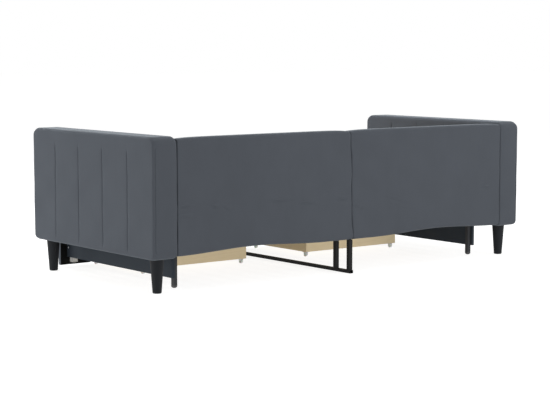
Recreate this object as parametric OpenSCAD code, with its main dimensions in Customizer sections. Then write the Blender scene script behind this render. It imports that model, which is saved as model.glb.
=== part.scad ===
// Trundle daybed: an upholstered daybed frame in two bolted halves, with a
// pull-out trundle bed below it and two rolling drawers under the trundle.
// Origin on the floor under the middle of the bed, front towards -Y, +Z up.
// All lengths are in millimetres. "Left" is -X, as seen from the front.

/* [Daybed] */
// Length over both arms
bed_length = 2280; // [2160:10:2400]
// Depth from the front rail to the back of the back panels
bed_depth = 1078; // [1010:2:1170]
// Distance from the front of the bed to the front of the arms
arm_setback = 31; // [15:1:60]
// Height of the arms above the floor
arm_height = 696; // [640:1:760]
// Thickness of each arm
arm_thickness = 133; // [110:1:160]
// Height of the top of the back panels
back_height = 685; // [630:1:750]
// Thickness of the back panels
back_thickness = 60; // [45:1:80]
// Lowest edge of the back panels above the floor
back_clearance = 163; // [150:1:180]
// Rise of the lower edge of each back panel
back_arch = 15; // [0:1:25]
// Distance from the middle of the bed to where that rise begins
back_arch_start = 150; // [0:10:300]

/* [Upholstery] */
// Plan radius at the ends of the arms
arm_end_radius = 18; // [10:1:50]
// Radius of the upper corners of the arms, seen from the side
arm_top_corner = 38; // [20:1:80]
// Radius of the lower corners of the arms, seen from the side
arm_low_corner = 25; // [10:1:40]
// Radius along the top edges of the arms
arm_top_edge = 18; // [10:1:33]
// Radius along the bottom edges of the arms
arm_low_edge = 14; // [6:1:20]
// Radius along the edges of the back panels
back_edge = 14; // [6:1:20]
// Radius at the upright ends of the back panels
back_end_radius = 10; // [4:1:16]
// Depth of the sewn seams between the channels
seam_depth = 4; // [1:0.5:9]
// Distance from a seam to where the padding is full again
seam_reach = 30; // [20:1:60]
// Number of channels along an arm
arm_channels = 5; // [3:1:6]
// Number of channels along a back panel
back_channels = 5; // [3:1:6]
// Distance from the top of the padding to the head of a seam
seam_head = 45; // [38:1:70]
// Length over which a seam sinks to its full depth
seam_run = 30; // [10:1:50]
// Distance from the bottom of the padding to the foot of a seam
seam_foot = 40; // [25:1:60]
// Radius at the edges of the padded fronts
front_edge = 9; // [4:0.5:12]

/* [Legs] */
// Height of the four legs
leg_height = 154; // [120:1:170]
// Diameter of a leg where it meets the arm
leg_top_diameter = 63; // [40:1:80]
// Diameter of a leg at the floor
leg_foot_diameter = 41; // [30:1:56]
// Radius of the edge at the foot of a leg
leg_foot_edge = 3; // [1:0.5:6]
// Distance from the end of an arm to the middle of a leg
leg_inset = 71; // [60:1:120]
// Thickness of the wooden rail let into the underside of each arm
arm_rail_thickness = 20; // [12:1:30]
// Width of that rail
arm_rail_width = 90; // [84:1:96]
// Distance from the end of an arm to the end of that rail
arm_rail_inset = 34; // [30:1:38]
// Diameter of the bolt that holds a leg
leg_bolt_diameter = 8; // [6:1:10]
// Depth of the bolt in the leg
leg_bolt_depth = 40; // [25:1:60]

/* [Bed base] */
// Thickness of the padded front rail
front_rail_thickness = 40; // [30:1:50]
// Height of the battens that carry the slats
batten_height = 26; // [18:1:34]
// Width of the battens that carry the slats
batten_width = 30; // [20:1:40]
// Thickness of a slat
slat_thickness = 14; // [10:1:18]
// Width of a slat
slat_width = 65; // [40:1:75]
// Number of slats in each half of the daybed
slats_per_half = 10; // [7:1:11]
// Number of slats in the trundle
trundle_slat_count = 18; // [12:1:20]
// Width of the tapes across the slats
tape_width = 25; // [15:1:40]
// Thickness of the tapes
tape_thickness = 1.2; // [0.8:0.1:2]

/* [Middle support] */
// Width of the square steel tubes
tube_width = 20; // [15:1:25]
// Wall of the steel tubes
tube_wall = 1.5; // [1:0.1:3]
// Height of the bar on the floor
floor_bar_height = 15; // [12:1:22]
// Distance from the back of the bed to the rear post
rear_post_inset = 6; // [3:1:12]
// Distance from the back of the bed to the tall post
tall_post_inset = 106; // [100:1:112]
// Distance from the front of the bed to the end of the floor bar
floor_bar_inset = 95; // [80:1:160]

/* [Trundle] */
// Gap between an arm and the end of the trundle front
trundle_side_gap = 16; // [6:1:40]
// Height of the top of the trundle front
trundle_height = 340; // [320:1:341]
// Gap between the floor and the trundle front
trundle_clearance = 10; // [8:1:14]
// Thickness of the trundle front
trundle_front_thickness = 28; // [24:1:34]
// Thickness of the lining on the back of the trundle front
lining_thickness = 1; // [0.8:0.1:2]
// Gap between an arm and a side board
side_board_gap = 53; // [35:1:70]
// Thickness of a side board
side_board_thickness = 15; // [12:1:22]
// Lower edge of the side boards above the floor
side_board_low = 49; // [40:1:70]
// Upper edge of the side boards above the floor
side_board_high = 290; // [240:1:320]
// Distance from the back of the bed to the back of the side boards
side_board_back = 128; // [127:1:150]
// Distance from the back of the side boards to the rear posts
trundle_post_inset = 10; // [5:1:30]
// Height of the plastic foot on a rear post
foot_cap_height = 14; // [10:1:20]
// Size of the wooden corner blocks
corner_block = 28; // [20:1:40]
// Lower end of the corner blocks above the floor
corner_block_low = 23; // [18:1:45]
// Underside of the trundle's battens and rear rail
trundle_rail_low = 176; // [172:1:184]
// Diameter of the trundle's wheels
trundle_wheel_diameter = 40; // [32:1:50]
// Width of the trundle's wheels
trundle_wheel_width = 18; // [12:1:24]
// Distance from the middle of the bed to a trundle wheel
trundle_wheel_offset = 90; // [60:1:130]

/* [Drawers] */
// Distance from the middle of the bed to a drawer box
drawer_inner_offset = 194; // [188:1:215]
// Distance from a side board to a drawer box
drawer_outer_offset = 126; // [115:1:150]
// Distance from the front of the bed to the back of a drawer
drawer_length = 493; // [430:1:560]
// Height of the drawer box's underside above the floor
drawer_low = 26; // [24:1:30]
// Height of the drawer boards
drawer_board_height = 124; // [90:1:130]
// Thickness of the drawer boards
drawer_board = 12; // [9:1:16]
// Thickness of the drawer's bottom panel
drawer_bottom = 4; // [3:0.5:6]
// Depth of the groove for the bottom panel
groove_depth = 5; // [3:0.5:6]
// Height of the bottom panel above the underside of the boards
groove_lift = 6; // [4:1:12]
// Thickness of the padded drawer fronts
drawer_front_thickness = 20; // [16:1:23]
// Gap between a drawer front and the trundle front beside it
drawer_gap = 4; // [3:0.5:6]
// Finger gap above a drawer front
finger_gap = 30; // [22:1:40]
// Height of the drawer openings' upper edge above the floor
drawer_opening_height = 180; // [178:1:190]
// Distance that a drawer front stands past the drawer box at each side
drawer_front_overlap = 4; // [2:1:6]
// Gap below a drawer front, above the lower edge of the trundle front
drawer_front_lift = 2; // [1:0.5:6]
// Diameter of a castor wheel
castor_diameter = 22; // [18:1:23]
// Width of a castor wheel
castor_width = 12; // [8:1:14]
// Distance from the box's sides to the middle of a castor
castor_inset = 16; // [14:1:30]
// Distance from the box's back and front to the middle of a castor
castor_setback = 23; // [18:1:40]

/* [Hidden] */
$fn = 48;

// Colours
velvet = [0.31, 0.33, 0.37];
lining_black = [0.05, 0.05, 0.05];
black_wood = [0.14, 0.15, 0.16];
black_steel = [0.10, 0.10, 0.11];
grey_board = [0.25, 0.28, 0.31];
pale_wood = [0.76, 0.68, 0.53];
white_plastic = [0.88, 0.88, 0.87];
zinc = [0.70, 0.71, 0.72];
tape_grey = [0.55, 0.55, 0.55];

// Small clearances shared by the joints between pieces
seat_gap = 0.3;
cut_over = 1;

// Places that the pieces share
half_length = bed_length / 2;
half_depth = bed_depth / 2;
front_face = -half_depth;
arm_inner = half_length - arm_thickness;
arm_middle = half_length - arm_thickness / 2;
arm_length = bed_depth - arm_setback;
arm_middle_y = half_depth - arm_length / 2;
leg_offset = arm_length / 2 - leg_inset;
arm_rail_length = arm_length - 2 * arm_rail_inset;
back_front = half_depth - back_thickness;
panel_length = arm_inner - 2 * seat_gap;

// Heights of the bed base, from the trundle front upwards
base_gap = 6;
front_rail_low = trundle_height + base_gap;
beam_top = front_rail_low + tube_width;
batten_top = beam_top + batten_height;
slat_top = batten_top + slat_thickness;

front_rail_back = front_face + front_rail_thickness;
rear_post_y = half_depth - rear_post_inset - tube_width / 2;
tall_post_y = half_depth - tall_post_inset - tube_width / 2;
floor_bar_front = front_face + floor_bar_inset;

// Brackets and screws
bracket_thickness = 3;
bracket_leg = 40;
bracket_height = 44;
bracket_screw_inset = 24;
screw_hole = 5;
screw_shank = 4.6;
screw_head = 9;
screw_head_height = 2.4;
screw_bite = 14;
joint_plate_length = 120;
joint_plate_height = 16;
frame_bite = bracket_thickness + screw_bite;
bracket_x = arm_inner - seat_gap;
plate_screw_x = joint_plate_length / 2 - screw_head;
arm_screw_rear = back_front - bracket_screw_inset;
arm_screw_front = 2 * arm_middle_y - arm_screw_rear;
arm_screw_z = front_rail_low - bracket_height / 2;
front_plate_z = front_rail_low + joint_plate_height / 2 + seat_gap;
running_clearance = 0.05;

// Places in the trundle
trundle_back = half_depth - side_board_back;
lining_face = front_face + trundle_front_thickness + lining_thickness;
side_board_out = arm_inner - side_board_gap;
side_board_in = side_board_out - side_board_thickness;
trundle_end = arm_inner - trundle_side_gap;
trundle_post_y = trundle_back - trundle_post_inset - tube_width / 2;
trundle_slat_low = trundle_rail_low + tube_width;
post_drop = 5;
post_high = side_board_high - post_drop;
wheel_axle_diameter = 6;
fork_thickness = 3;
fork_side_gap = 0.6;
fork_plate_low = 26;
fork_plate_high = 86;
fork_nose_radius = 9;
wheel_back_gap = 8;
trundle_wheel_y = lining_face + fork_thickness + wheel_back_gap + trundle_wheel_diameter / 2;
hub_share = 0.42;
web_share = 0.3;
tread_ease_share = 0.12;
foot_round_share = 0.9;
board_screw_shares = [0.2, 0.8];
block_bite = 7;
trundle_bite = side_board_thickness + block_bite;

// Places in the drawers
drawer_in = drawer_inner_offset;
drawer_out = side_board_in - drawer_outer_offset;
drawer_front_in = drawer_in - drawer_front_overlap;
drawer_front_out = drawer_out + drawer_front_overlap;
opening_in = drawer_front_in - drawer_gap;
opening_out = drawer_front_out + drawer_gap;
drawer_face_back = front_face + drawer_front_thickness;
drawer_back = front_face + drawer_length;
drawer_front_low = trundle_clearance + drawer_front_lift;
drawer_front_high = drawer_opening_height - finger_gap;
castor_axle_diameter = 4;
castor_plate = 28;
castor_plate_thickness = 2;
castor_cheek = 2;
castor_side_gap = 0.5;
castor_axle_z = castor_diameter / 2;
castor_nose_radius = 4;

// Shares of a radius at which a rounded end is sampled
end_shares = [0, 0.12, 0.42, 1];
// Shares of the reach of a seam at which the padding is sampled
seam_shares = [-1, -0.32, 0, 0.32, 1];
// Shares of a channel at which its full padding is sampled
channel_shares = [0.5];
// Angles that sample the edge radii
low_angles = [0, 45, 90];
top_angles = [0, 30, 60, 90];

// Smooth step from 0 to 1
function smooth(t) = let (u = min(1, max(0, t))) u * u * (3 - 2 * u);

// How far a quarter-round of radius r falls back at distance s from its end
function edge_drop(s, r) = s >= r ? 0 : r - sqrt(r * r - (r - s) * (r - s));

// Share of the seam depth at place s, given the list of seams
function seam_share(s, seams) = max([for (m = seams) 1 - smooth(abs(s - m) / seam_reach)]);

// Share of the seam depth at height z on padding from z0 to z1
function seam_height_share(z, z0, z1) =
    smooth((z - z0 - seam_foot / 4) / (seam_foot * 0.75)) * smooth((z1 - seam_head - z) / seam_run);

// Places along a piece of the given length at which its section is set
function stations(length, end_r, seams) =
    let (bounds = concat([0], seams, [length]))
    concat(
        [for (k = end_shares) k * end_r],
        [for (i = [0 : len(bounds) - 2])
            each concat(
                [for (k = channel_shares) bounds[i] + k * (bounds[i + 1] - bounds[i])],
                i < len(seams) ? [for (k = seam_shares) bounds[i + 1] + k * seam_reach] : []
            )],
        [for (k = [len(end_shares) - 1 : -1 : 0]) length - end_shares[k] * end_r]
    );

// Closed skin over a list of rings, each a list of points in the same turn
module skin(rings) {
    n = len(rings[0]);
    m = len(rings);
    polyhedron(
        points = [for (ring = rings) each ring],
        faces = concat(
            [for (i = [0 : m - 2], k = [0 : n - 1])
                let (a = i * n + k, b = i * n + (k + 1) % n)
                each [[a, a + n, b + n], [a, b + n, b]]],
            [for (k = [1 : n - 2]) [0, k, k + 1]],
            [for (k = [1 : n - 2]) [(m - 1) * n, (m - 1) * n + k + 1, (m - 1) * n + k]]
        ),
        convexity = 6
    );
}

// One side of a padded section, from its lower to its upper edge:
// pairs of distance from the middle plane and height
function padded_side(half, z0, z1, low_r, top_r, depth, sunk) =
    concat(
        [for (a = low_angles) [half - low_r + low_r * sin(a), z0 + low_r - low_r * cos(a)]],
        [for (z = [z0 + seam_foot, (z0 + z1) / 2, z1 - seam_head - seam_run, z1 - seam_head])
            [half - (sunk ? depth * seam_height_share(z, z0, z1) : 0), z]],
        [for (a = top_angles) [half - top_r + top_r * cos(a), z1 - top_r + top_r * sin(a)]]
    );

function reversed(list) = [for (i = [len(list) - 1 : -1 : 0]) list[i]];

// Section of an arm at distance s from its first end, with channels on both faces
function arm_ring(s, seams) =
    let (
        e = min(s, arm_length - s),
        half = arm_thickness / 2 - edge_drop(e, arm_end_radius),
        z0 = leg_height + edge_drop(e, arm_low_corner),
        z1 = arm_height - edge_drop(e, arm_top_corner),
        top_r = min(arm_top_edge, half),
        side = padded_side(half, z0, z1, arm_low_edge, top_r, seam_depth * seam_share(s, seams), true)
    )
    concat(
        [for (p = side) [arm_middle + p[0], half_depth - s, p[1]]],
        [for (p = reversed(side)) [arm_middle - p[0], half_depth - s, p[1]]]
    );

// Share of the rise of a back panel's lower edge at distance s from the middle
function arch_share(s) =
    let (u = max(0, (s - back_arch_start) / (panel_length - back_arch_start)))
    sin(180 * u) * sin(180 * u);

// Section of a back panel at distance s from the middle of the bed:
// plain behind, channelled in front
function back_ring(s, seams) =
    let (
        e = min(s, panel_length - s),
        drop = edge_drop(e, back_end_radius),
        half = back_thickness / 2 - drop,
        z0 = back_clearance + drop + back_arch * arch_share(s),
        z1 = back_height - drop,
        r = min(back_edge, half),
        depth = seam_depth * seam_share(s, seams),
        y_middle = half_depth - back_thickness / 2,
        rear = padded_side(half, z0, z1, r, r, depth, false),
        front = padded_side(half, z0, z1, r, r, depth, true)
    )
    concat(
        [for (p = rear) [seat_gap + s, y_middle + p[0], p[1]]],
        [for (p = reversed(front)) [seat_gap + s, y_middle - p[0], p[1]]]
    );

// Padded arm at +X, with a trough in its underside for the wooden rail
module padded_arm() {
    seams = [for (i = [1 : arm_channels - 1]) i * arm_length / arm_channels];
    color(velvet)
    difference() {
        skin([for (s = stations(arm_length, arm_end_radius, seams)) arm_ring(s, seams)]);
        translate([arm_middle - arm_rail_width / 2, arm_middle_y - arm_rail_length / 2, leg_height - cut_over])
            cube([arm_rail_width, arm_rail_length, arm_rail_thickness + cut_over]);
        at_frame_screws() pilot(frame_bite);
    }
}

// The two arms are the same piece, turned end for end
module arm_right() { padded_arm(); }
module arm_left() { translate([0, 2 * arm_middle_y, 0]) rotate([0, 0, 180]) padded_arm(); }

module padded_back() {
    seams = [for (i = [1 : back_channels - 1]) i * panel_length / back_channels];
    color(velvet)
    difference() {
        skin([for (s = stations(panel_length, back_end_radius, seams)) back_ring(s, seams)]);
        at_frame_screws() pilot(frame_bite);
    }
}

module back_panel_right() { padded_back(); }
module back_panel_left() { mirror([1, 0, 0]) padded_back(); }

// Distance from a point to the edge of a padded board, round a notch in its foot
function board_edge(x, z, x0, x1, z0, z1, notch) =
    let (
        rim = len(notch) == 0 ? min(x - x0, x1 - x, z - z0, z1 - z)
            : min(x - x0, x1 - x, z1 - z, (x > notch[0] && x < notch[1]) ? z1 - z : z - z0),
        dx = len(notch) == 0 ? 0 : max(notch[0] - x, 0, x - notch[1]),
        dz = len(notch) == 0 ? 0 : max(z - notch[2], 0),
        hole = len(notch) == 0 ? rim : sqrt(dx * dx + dz * dz)
    )
    max(0, min(rim, hole));

// Board with a flat back at y = back_y and a padded front that rounds over at
// its edges; notch is [low x, high x, top z] or an empty list
module padded_board(x0, x1, z0, z1, back_y, thickness, r, notch = []) {
    steps = [0, 0.15, 0.5, 1];
    into = [for (k = steps) k * r];
    middle_x = len(notch) == 0 ? [] : concat(
        [for (k = reversed(into)) notch[0] - k],
        [for (k = into) notch[1] + k]);
    middle_z = len(notch) == 0 ? [] : [for (k = into) notch[2] + k];
    xs = concat([for (k = into) x0 + k], middle_x, [for (k = reversed(into)) x1 - k]);
    zs = concat([for (k = into) z0 + k], middle_z, [for (k = reversed(into)) z1 - k]);
    n = len(xs);
    m = len(zs);
    count = n * m;
    function on(i, j) = i >= 0 && j >= 0 && i < n - 1 && j < m - 1 && (len(notch) == 0
        || (xs[i] + xs[i + 1]) / 2 < notch[0] || (xs[i] + xs[i + 1]) / 2 > notch[1]
        || (zs[j] + zs[j + 1]) / 2 > notch[2]);
    polyhedron(
        points = concat(
            [for (x = xs, z = zs)
                [x, back_y - thickness + edge_drop(board_edge(x, z, x0, x1, z0, z1, notch), r), z]],
            [for (x = xs, z = zs) [x, back_y, z]]
        ),
        faces = [for (i = [0 : n - 2], j = [0 : m - 2]) if (on(i, j))
            let (a = i * m + j, b = a + m, c = b + 1, d = a + 1)
            each concat(
                [[a, d, c], [a, c, b]],
                [[a + count, b + count, c + count], [a + count, c + count, d + count]],
                on(i - 1, j) ? [] : [[a + count, d + count, d], [a + count, d, a]],
                on(i + 1, j) ? [] : [[b, c, c + count], [b, c + count, b + count]],
                on(i, j - 1) ? [] : [[a, b, b + count], [a, b + count, a + count]],
                on(i, j + 1) ? [] : [[c, d, d + count], [c, d + count, c + count]]
            )],
        convexity = 6
    );
}

module padded_front_rail() {
    color(velvet)
    difference() {
        padded_board(seat_gap, arm_inner - seat_gap, front_rail_low, slat_top,
            front_rail_back, front_rail_thickness, front_edge);
        at_frame_screws() pilot(frame_bite);
    }
}

module front_rail_right() { padded_front_rail(); }
module front_rail_left() { mirror([1, 0, 0]) padded_front_rail(); }

// Round tapered leg with an eased foot and a bore for its bolt
module leg(side_x, side_y) {
    top_r = leg_top_diameter / 2;
    foot_r = leg_foot_diameter / 2;
    color(black_wood)
    translate([side_x * arm_middle, arm_middle_y + side_y * leg_offset, 0])
    difference() {
        rotate_extrude()
            polygon([[0, 0], [foot_r - leg_foot_edge, 0], [foot_r, leg_foot_edge],
                [top_r, leg_height], [0, leg_height]]);
        translate([0, 0, leg_height - leg_bolt_depth])
            cylinder(h = leg_bolt_depth + cut_over, d = leg_bolt_diameter + seat_gap);
    }
}

module leg_front_left() { leg(-1, -1); }
module leg_front_right() { leg(1, -1); }
module leg_rear_left() { leg(-1, 1); }
module leg_rear_right() { leg(1, 1); }

// Wooden rail in the underside of an arm, drilled for the leg bolts
module arm_rail(side) {
    color(pale_wood)
    difference() {
        translate([side * arm_middle - arm_rail_width / 2, arm_middle_y - arm_rail_length / 2, leg_height])
            cube([arm_rail_width, arm_rail_length, arm_rail_thickness]);
        for (end = [-1, 1])
            translate([side * arm_middle, arm_middle_y + end * leg_offset, leg_height - cut_over])
                cylinder(h = arm_rail_thickness + 2 * cut_over, d = leg_bolt_diameter + seat_gap);
    }
}

module arm_rail_left() { arm_rail(-1); }
module arm_rail_right() { arm_rail(1); }

module leg_bolts() {
    color(zinc)
    for (side = [-1, 1], end = [-1, 1])
        translate([side * arm_middle, arm_middle_y + end * leg_offset, leg_height - leg_bolt_depth])
            cylinder(h = leg_bolt_depth + arm_rail_thickness - seat_gap, d = leg_bolt_diameter);
}

// Battens along the back panels and the front rails, one for each half
module slat_battens() {
    length = arm_inner - 2 * seat_gap;
    color(pale_wood)
    for (side = [0, 1], y = [front_rail_back, back_front - batten_width])
        mirror([side, 0, 0])
            translate([seat_gap, y, beam_top])
                cube([length, batten_width, batten_height]);
}

// Share of a slat's width by which its corners are eased
slat_ease_share = 0.125;

module slat(length) {
    ease = slat_width * slat_ease_share;
    linear_extrude(slat_thickness)
        polygon([[-slat_width / 2 + ease, 0], [slat_width / 2 - ease, 0], [slat_width / 2, ease],
            [slat_width / 2, length - ease], [slat_width / 2 - ease, length],
            [-slat_width / 2 + ease, length], [-slat_width / 2, length - ease], [-slat_width / 2, ease]]);
}

slat_end_gap = 3;
slat_length = back_front - front_rail_back - 2 * slat_end_gap;
slat_pitch = arm_inner / slats_per_half;

module half_slats() {
    color(pale_wood)
    for (i = [0 : slats_per_half - 1])
        translate([(i + 0.5) * slat_pitch, front_rail_back + slat_end_gap, batten_top])
            slat(slat_length);
}

module slats_right() { half_slats(); }
module slats_left() { mirror([1, 0, 0]) half_slats(); }

// Shares of the slats' length at which the tapes cross under them
tape_shares = [0.22, 0.78];

// Tapes that hold the slats of each half at their spacing
module slat_tapes() {
    color(tape_grey)
    for (side = [0, 1], k = tape_shares)
        mirror([side, 0, 0])
            translate([slat_pitch / 2 - slat_width / 2,
                front_rail_back + slat_end_gap + k * slat_length - tape_width / 2, batten_top - tape_thickness])
                cube([(slats_per_half - 1) * slat_pitch + slat_width, tape_width, tape_thickness]);
}

// Rectangular steel tube from the origin along +Z, open inside
module tube(width, depth, length) {
    linear_extrude(length)
    difference() {
        square([width, depth], center = true);
        square([width - 2 * tube_wall, depth - 2 * tube_wall], center = true);
    }
}

// Rectangular steel tube along Y from y0 to y1, standing on height z
module tube_along_y(y0, y1, z, height) {
    translate([0, y1, z + height / 2])
        rotate([90, 0, 0])
            tube(tube_width, height, y1 - y0);
}

module centre_beam() {
    color(black_steel)
    tube_along_y(front_rail_back + bracket_thickness, back_front, front_rail_low, tube_width);
}

module centre_tall_post() {
    color(black_steel)
    translate([0, tall_post_y, floor_bar_height])
        tube(tube_width, tube_width, front_rail_low - floor_bar_height);
}

module centre_rear_post() {
    color(black_steel)
    translate([0, rear_post_y, floor_bar_height])
        tube(tube_width, tube_width, back_clearance - floor_bar_height);
}

module centre_floor_bar() {
    color(black_steel)
    tube_along_y(floor_bar_front, half_depth - seat_gap, 0, floor_bar_height);
}

// Flat steel plate across a joint in the middle of the bed, with its back on y
module joint_plate(y, z, height) {
    translate([-joint_plate_length / 2, y, z - height / 2])
        cube([joint_plate_length, bracket_thickness, height]);
}

// Angle bracket in the corner between the back panel and the arm at +X
module rear_corner_bracket() {
    translate([bracket_x - bracket_leg, back_front - bracket_thickness, arm_screw_z - bracket_height / 2])
        cube([bracket_leg, bracket_thickness, bracket_height]);
    translate([bracket_x - bracket_thickness, back_front - bracket_leg, arm_screw_z - bracket_height / 2])
        cube([bracket_thickness, bracket_leg, bracket_height]);
}

// Angle bracket in the corner between the front rail and the arm at +X: its
// leg on the arm reaches back and down to the screw that both ends of an arm share
module front_corner_bracket() {
    reach = arm_screw_front + bracket_leg - bracket_screw_inset - front_rail_back;
    low = arm_screw_z - bracket_height / 2;
    top = front_plate_z + joint_plate_height / 2;
    translate([bracket_x - bracket_leg, front_rail_back, front_plate_z - joint_plate_height / 2])
        cube([bracket_leg, bracket_thickness, joint_plate_height]);
    translate([bracket_x - bracket_thickness, front_rail_back, low])
        cube([bracket_thickness, reach, top - low]);
}

// Puts its children at each screw of the half at +X, heads up, bite down
module at_frame_screws() {
    for (x = [plate_screw_x, bracket_x - bracket_leg / 2]) {
        translate([x, back_front - bracket_thickness, arm_screw_z])
            rotate([90, 0, 0]) children();
        translate([x, front_rail_back + bracket_thickness, front_plate_z])
            rotate([-90, 0, 0]) children();
    }
    for (y = [arm_screw_front, arm_screw_rear])
        translate([bracket_x - bracket_thickness, y, arm_screw_z])
            rotate([0, -90, 0]) children();
}

// Clearance hole for a screw through a plate
module plate_hole(thickness) {
    translate([0, 0, -thickness - cut_over])
        cylinder(h = thickness + 2 * cut_over, d = screw_hole);
}

// Pilot bore that a screw of the given bite turns into
module pilot(bite) {
    translate([0, 0, -bite - running_clearance])
        cylinder(h = bite + cut_over, d = screw_shank + 2 * running_clearance);
}

module frame_brackets() {
    color(zinc)
    difference() {
        union() {
            joint_plate(back_front - bracket_thickness, arm_screw_z, bracket_height);
            joint_plate(front_rail_back, front_plate_z, joint_plate_height);
            for (side = [0, 1])
                mirror([side, 0, 0]) {
                    rear_corner_bracket();
                    front_corner_bracket();
                }
        }
        for (side = [0, 1])
            mirror([side, 0, 0])
                at_frame_screws() plate_hole(bracket_thickness);
    }
}

// Pan-headed screw whose head stands on the plane z = 0 and bites downwards
module screw(bite) {
    rotate_extrude()
        polygon([[0, -bite], [screw_shank / 4, -bite], [screw_shank / 2, -bite + screw_shank],
            [screw_shank / 2, 0], [screw_head / 2, 0], [screw_head / 2, screw_head_height / 2],
            [screw_head / 3, screw_head_height], [0, screw_head_height]]);
}

module frame_screws() {
    color(zinc)
    for (side = [0, 1])
        mirror([side, 0, 0])
            at_frame_screws() screw(frame_bite);
}

// Half of the trundle front: a padded board with an opening for the drawer
module padded_trundle_front() {
    color(velvet)
    difference() {
        padded_board(seat_gap, trundle_end, trundle_clearance, trundle_height,
            front_face + trundle_front_thickness, trundle_front_thickness, front_edge,
            [opening_in, opening_out, drawer_opening_height]);
        at_trundle_screws() pilot(trundle_bite);
    }
}

// Puts its children at each screw of the trundle's half at +X, heads up, bite
// down: one through the fork plate, two through the side board
module at_trundle_screws() {
    translate([trundle_wheel_offset, lining_face + fork_thickness, fork_plate_high - screw_head])
        rotate([-90, 0, 0]) children();
    for (k = board_screw_shares)
        translate([side_board_out, lining_face + corner_block / 2,
            side_board_low + k * (post_high - side_board_low)])
            rotate([0, 90, 0]) children();
}

module trundle_front_right() { padded_trundle_front(); }
module trundle_front_left() { mirror([1, 0, 0]) padded_trundle_front(); }

// Lining on the back of the trundle front, one sheet for each half
module front_lining() {
    low_y = lining_face - lining_thickness;
    color(lining_black)
    for (side = [0, 1])
        mirror([side, 0, 0])
            difference() {
                translate([seat_gap, low_y, trundle_clearance])
                    cube([trundle_end - seat_gap, lining_thickness, trundle_height - trundle_clearance]);
                translate([opening_in, low_y - cut_over, trundle_clearance - cut_over])
                    cube([opening_out - opening_in, lining_thickness + 2 * cut_over,
                        drawer_opening_height - trundle_clearance + cut_over]);
                at_trundle_screws() pilot(trundle_bite);
            }
}

module side_board() {
    color(grey_board)
    difference() {
        translate([side_board_in, lining_face, side_board_low])
            cube([side_board_thickness, trundle_back - lining_face, side_board_high - side_board_low]);
        at_trundle_screws() pilot(trundle_bite);
    }
}

module side_board_right() { side_board(); }
module side_board_left() { mirror([1, 0, 0]) side_board(); }

trundle_post_in = side_board_in - tube_width;

module trundle_rear_rail() {
    color(black_steel)
    translate([-trundle_post_in, trundle_post_y, trundle_rail_low + tube_width / 2])
        rotate([0, 90, 0])
            tube(tube_width, tube_width, 2 * trundle_post_in);
}

module trundle_batten() {
    color(pale_wood)
    translate([-(side_board_in - corner_block), lining_face, trundle_rail_low])
        cube([2 * (side_board_in - corner_block), corner_block, tube_width]);
}

module trundle_post(side) {
    color(black_steel)
    translate([side * (side_board_in - tube_width / 2), trundle_post_y, foot_cap_height])
        tube(tube_width, tube_width, post_high - foot_cap_height);
}

module trundle_post_left() { trundle_post(-1); }
module trundle_post_right() { trundle_post(1); }

// Plastic foot on each rear post, rounded under
module foot_caps() {
    color(lining_black)
    for (side = [-1, 1])
        translate([side * (side_board_in - tube_width / 2), trundle_post_y, 0])
            intersection() {
                translate([-tube_width / 2, -tube_width / 2, 0])
                    cube([tube_width, tube_width, foot_cap_height]);
                translate([0, 0, tube_width * foot_round_share])
                    sphere(r = tube_width * foot_round_share, $fn = 64);
            }
}

module corner_block_piece() {
    color(pale_wood)
    difference() {
        translate([side_board_in - corner_block, lining_face, corner_block_low])
            cube([corner_block, corner_block, post_high - corner_block_low]);
        at_trundle_screws() pilot(trundle_bite);
    }
}

module corner_block_right() { corner_block_piece(); }
module corner_block_left() { mirror([1, 0, 0]) corner_block_piece(); }

trundle_slat_pitch = 2 * (side_board_in - corner_block) / trundle_slat_count;
trundle_slat_front = lining_face + slat_end_gap;
trundle_slat_length = trundle_post_y + tube_width / 2 - trundle_slat_front;

module trundle_slats() {
    color(pale_wood)
    for (i = [0 : trundle_slat_count - 1])
        translate([(i + 0.5 - trundle_slat_count / 2) * trundle_slat_pitch, trundle_slat_front, trundle_slat_low])
            slat(trundle_slat_length);
}

module trundle_slat_tapes() {
    span = (trundle_slat_count - 1) * trundle_slat_pitch + slat_width;
    color(tape_grey)
    for (k = tape_shares)
        translate([-span / 2, trundle_slat_front + k * trundle_slat_length - tape_width / 2,
            trundle_slat_low - tape_thickness])
            cube([span, tape_width, tape_thickness]);
}

// Outline of one cheek of a fork: from the plate back round the axle
module fork_cheek_outline() {
    axle_y = trundle_wheel_y - lining_face;
    axle_z = trundle_wheel_diameter / 2;
    polygon(concat(
        [[0, fork_plate_high], [0, fork_plate_low]],
        [for (a = [-110 : 20 : 50]) [axle_y + fork_nose_radius * cos(a), axle_z + fork_nose_radius * sin(a)]]
    ));
}

// Steel fork on the back of the trundle front at +X, with its axle
module wheel_fork() {
    inside = trundle_wheel_width / 2 + fork_side_gap;
    difference() {
        translate([trundle_wheel_offset - inside - fork_thickness, lining_face, fork_plate_low])
            cube([2 * (inside + fork_thickness), fork_thickness, fork_plate_high - fork_plate_low]);
        at_trundle_screws() plate_hole(fork_thickness);
    }
    translate([trundle_wheel_offset, lining_face, 0]) {
        for (cheek = [-1, 1])
            translate([cheek * (inside + fork_thickness / 2) - fork_thickness / 2, 0, 0])
                rotate([90, 0, 90])
                    linear_extrude(fork_thickness) fork_cheek_outline();
        translate([-inside - fork_thickness, trundle_wheel_y - lining_face, trundle_wheel_diameter / 2])
            rotate([0, 90, 0])
                cylinder(h = 2 * (inside + fork_thickness), d = wheel_axle_diameter);
    }
}

module wheel_forks() {
    color(zinc)
    for (side = [0, 1])
        mirror([side, 0, 0]) wheel_fork();
}

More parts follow.
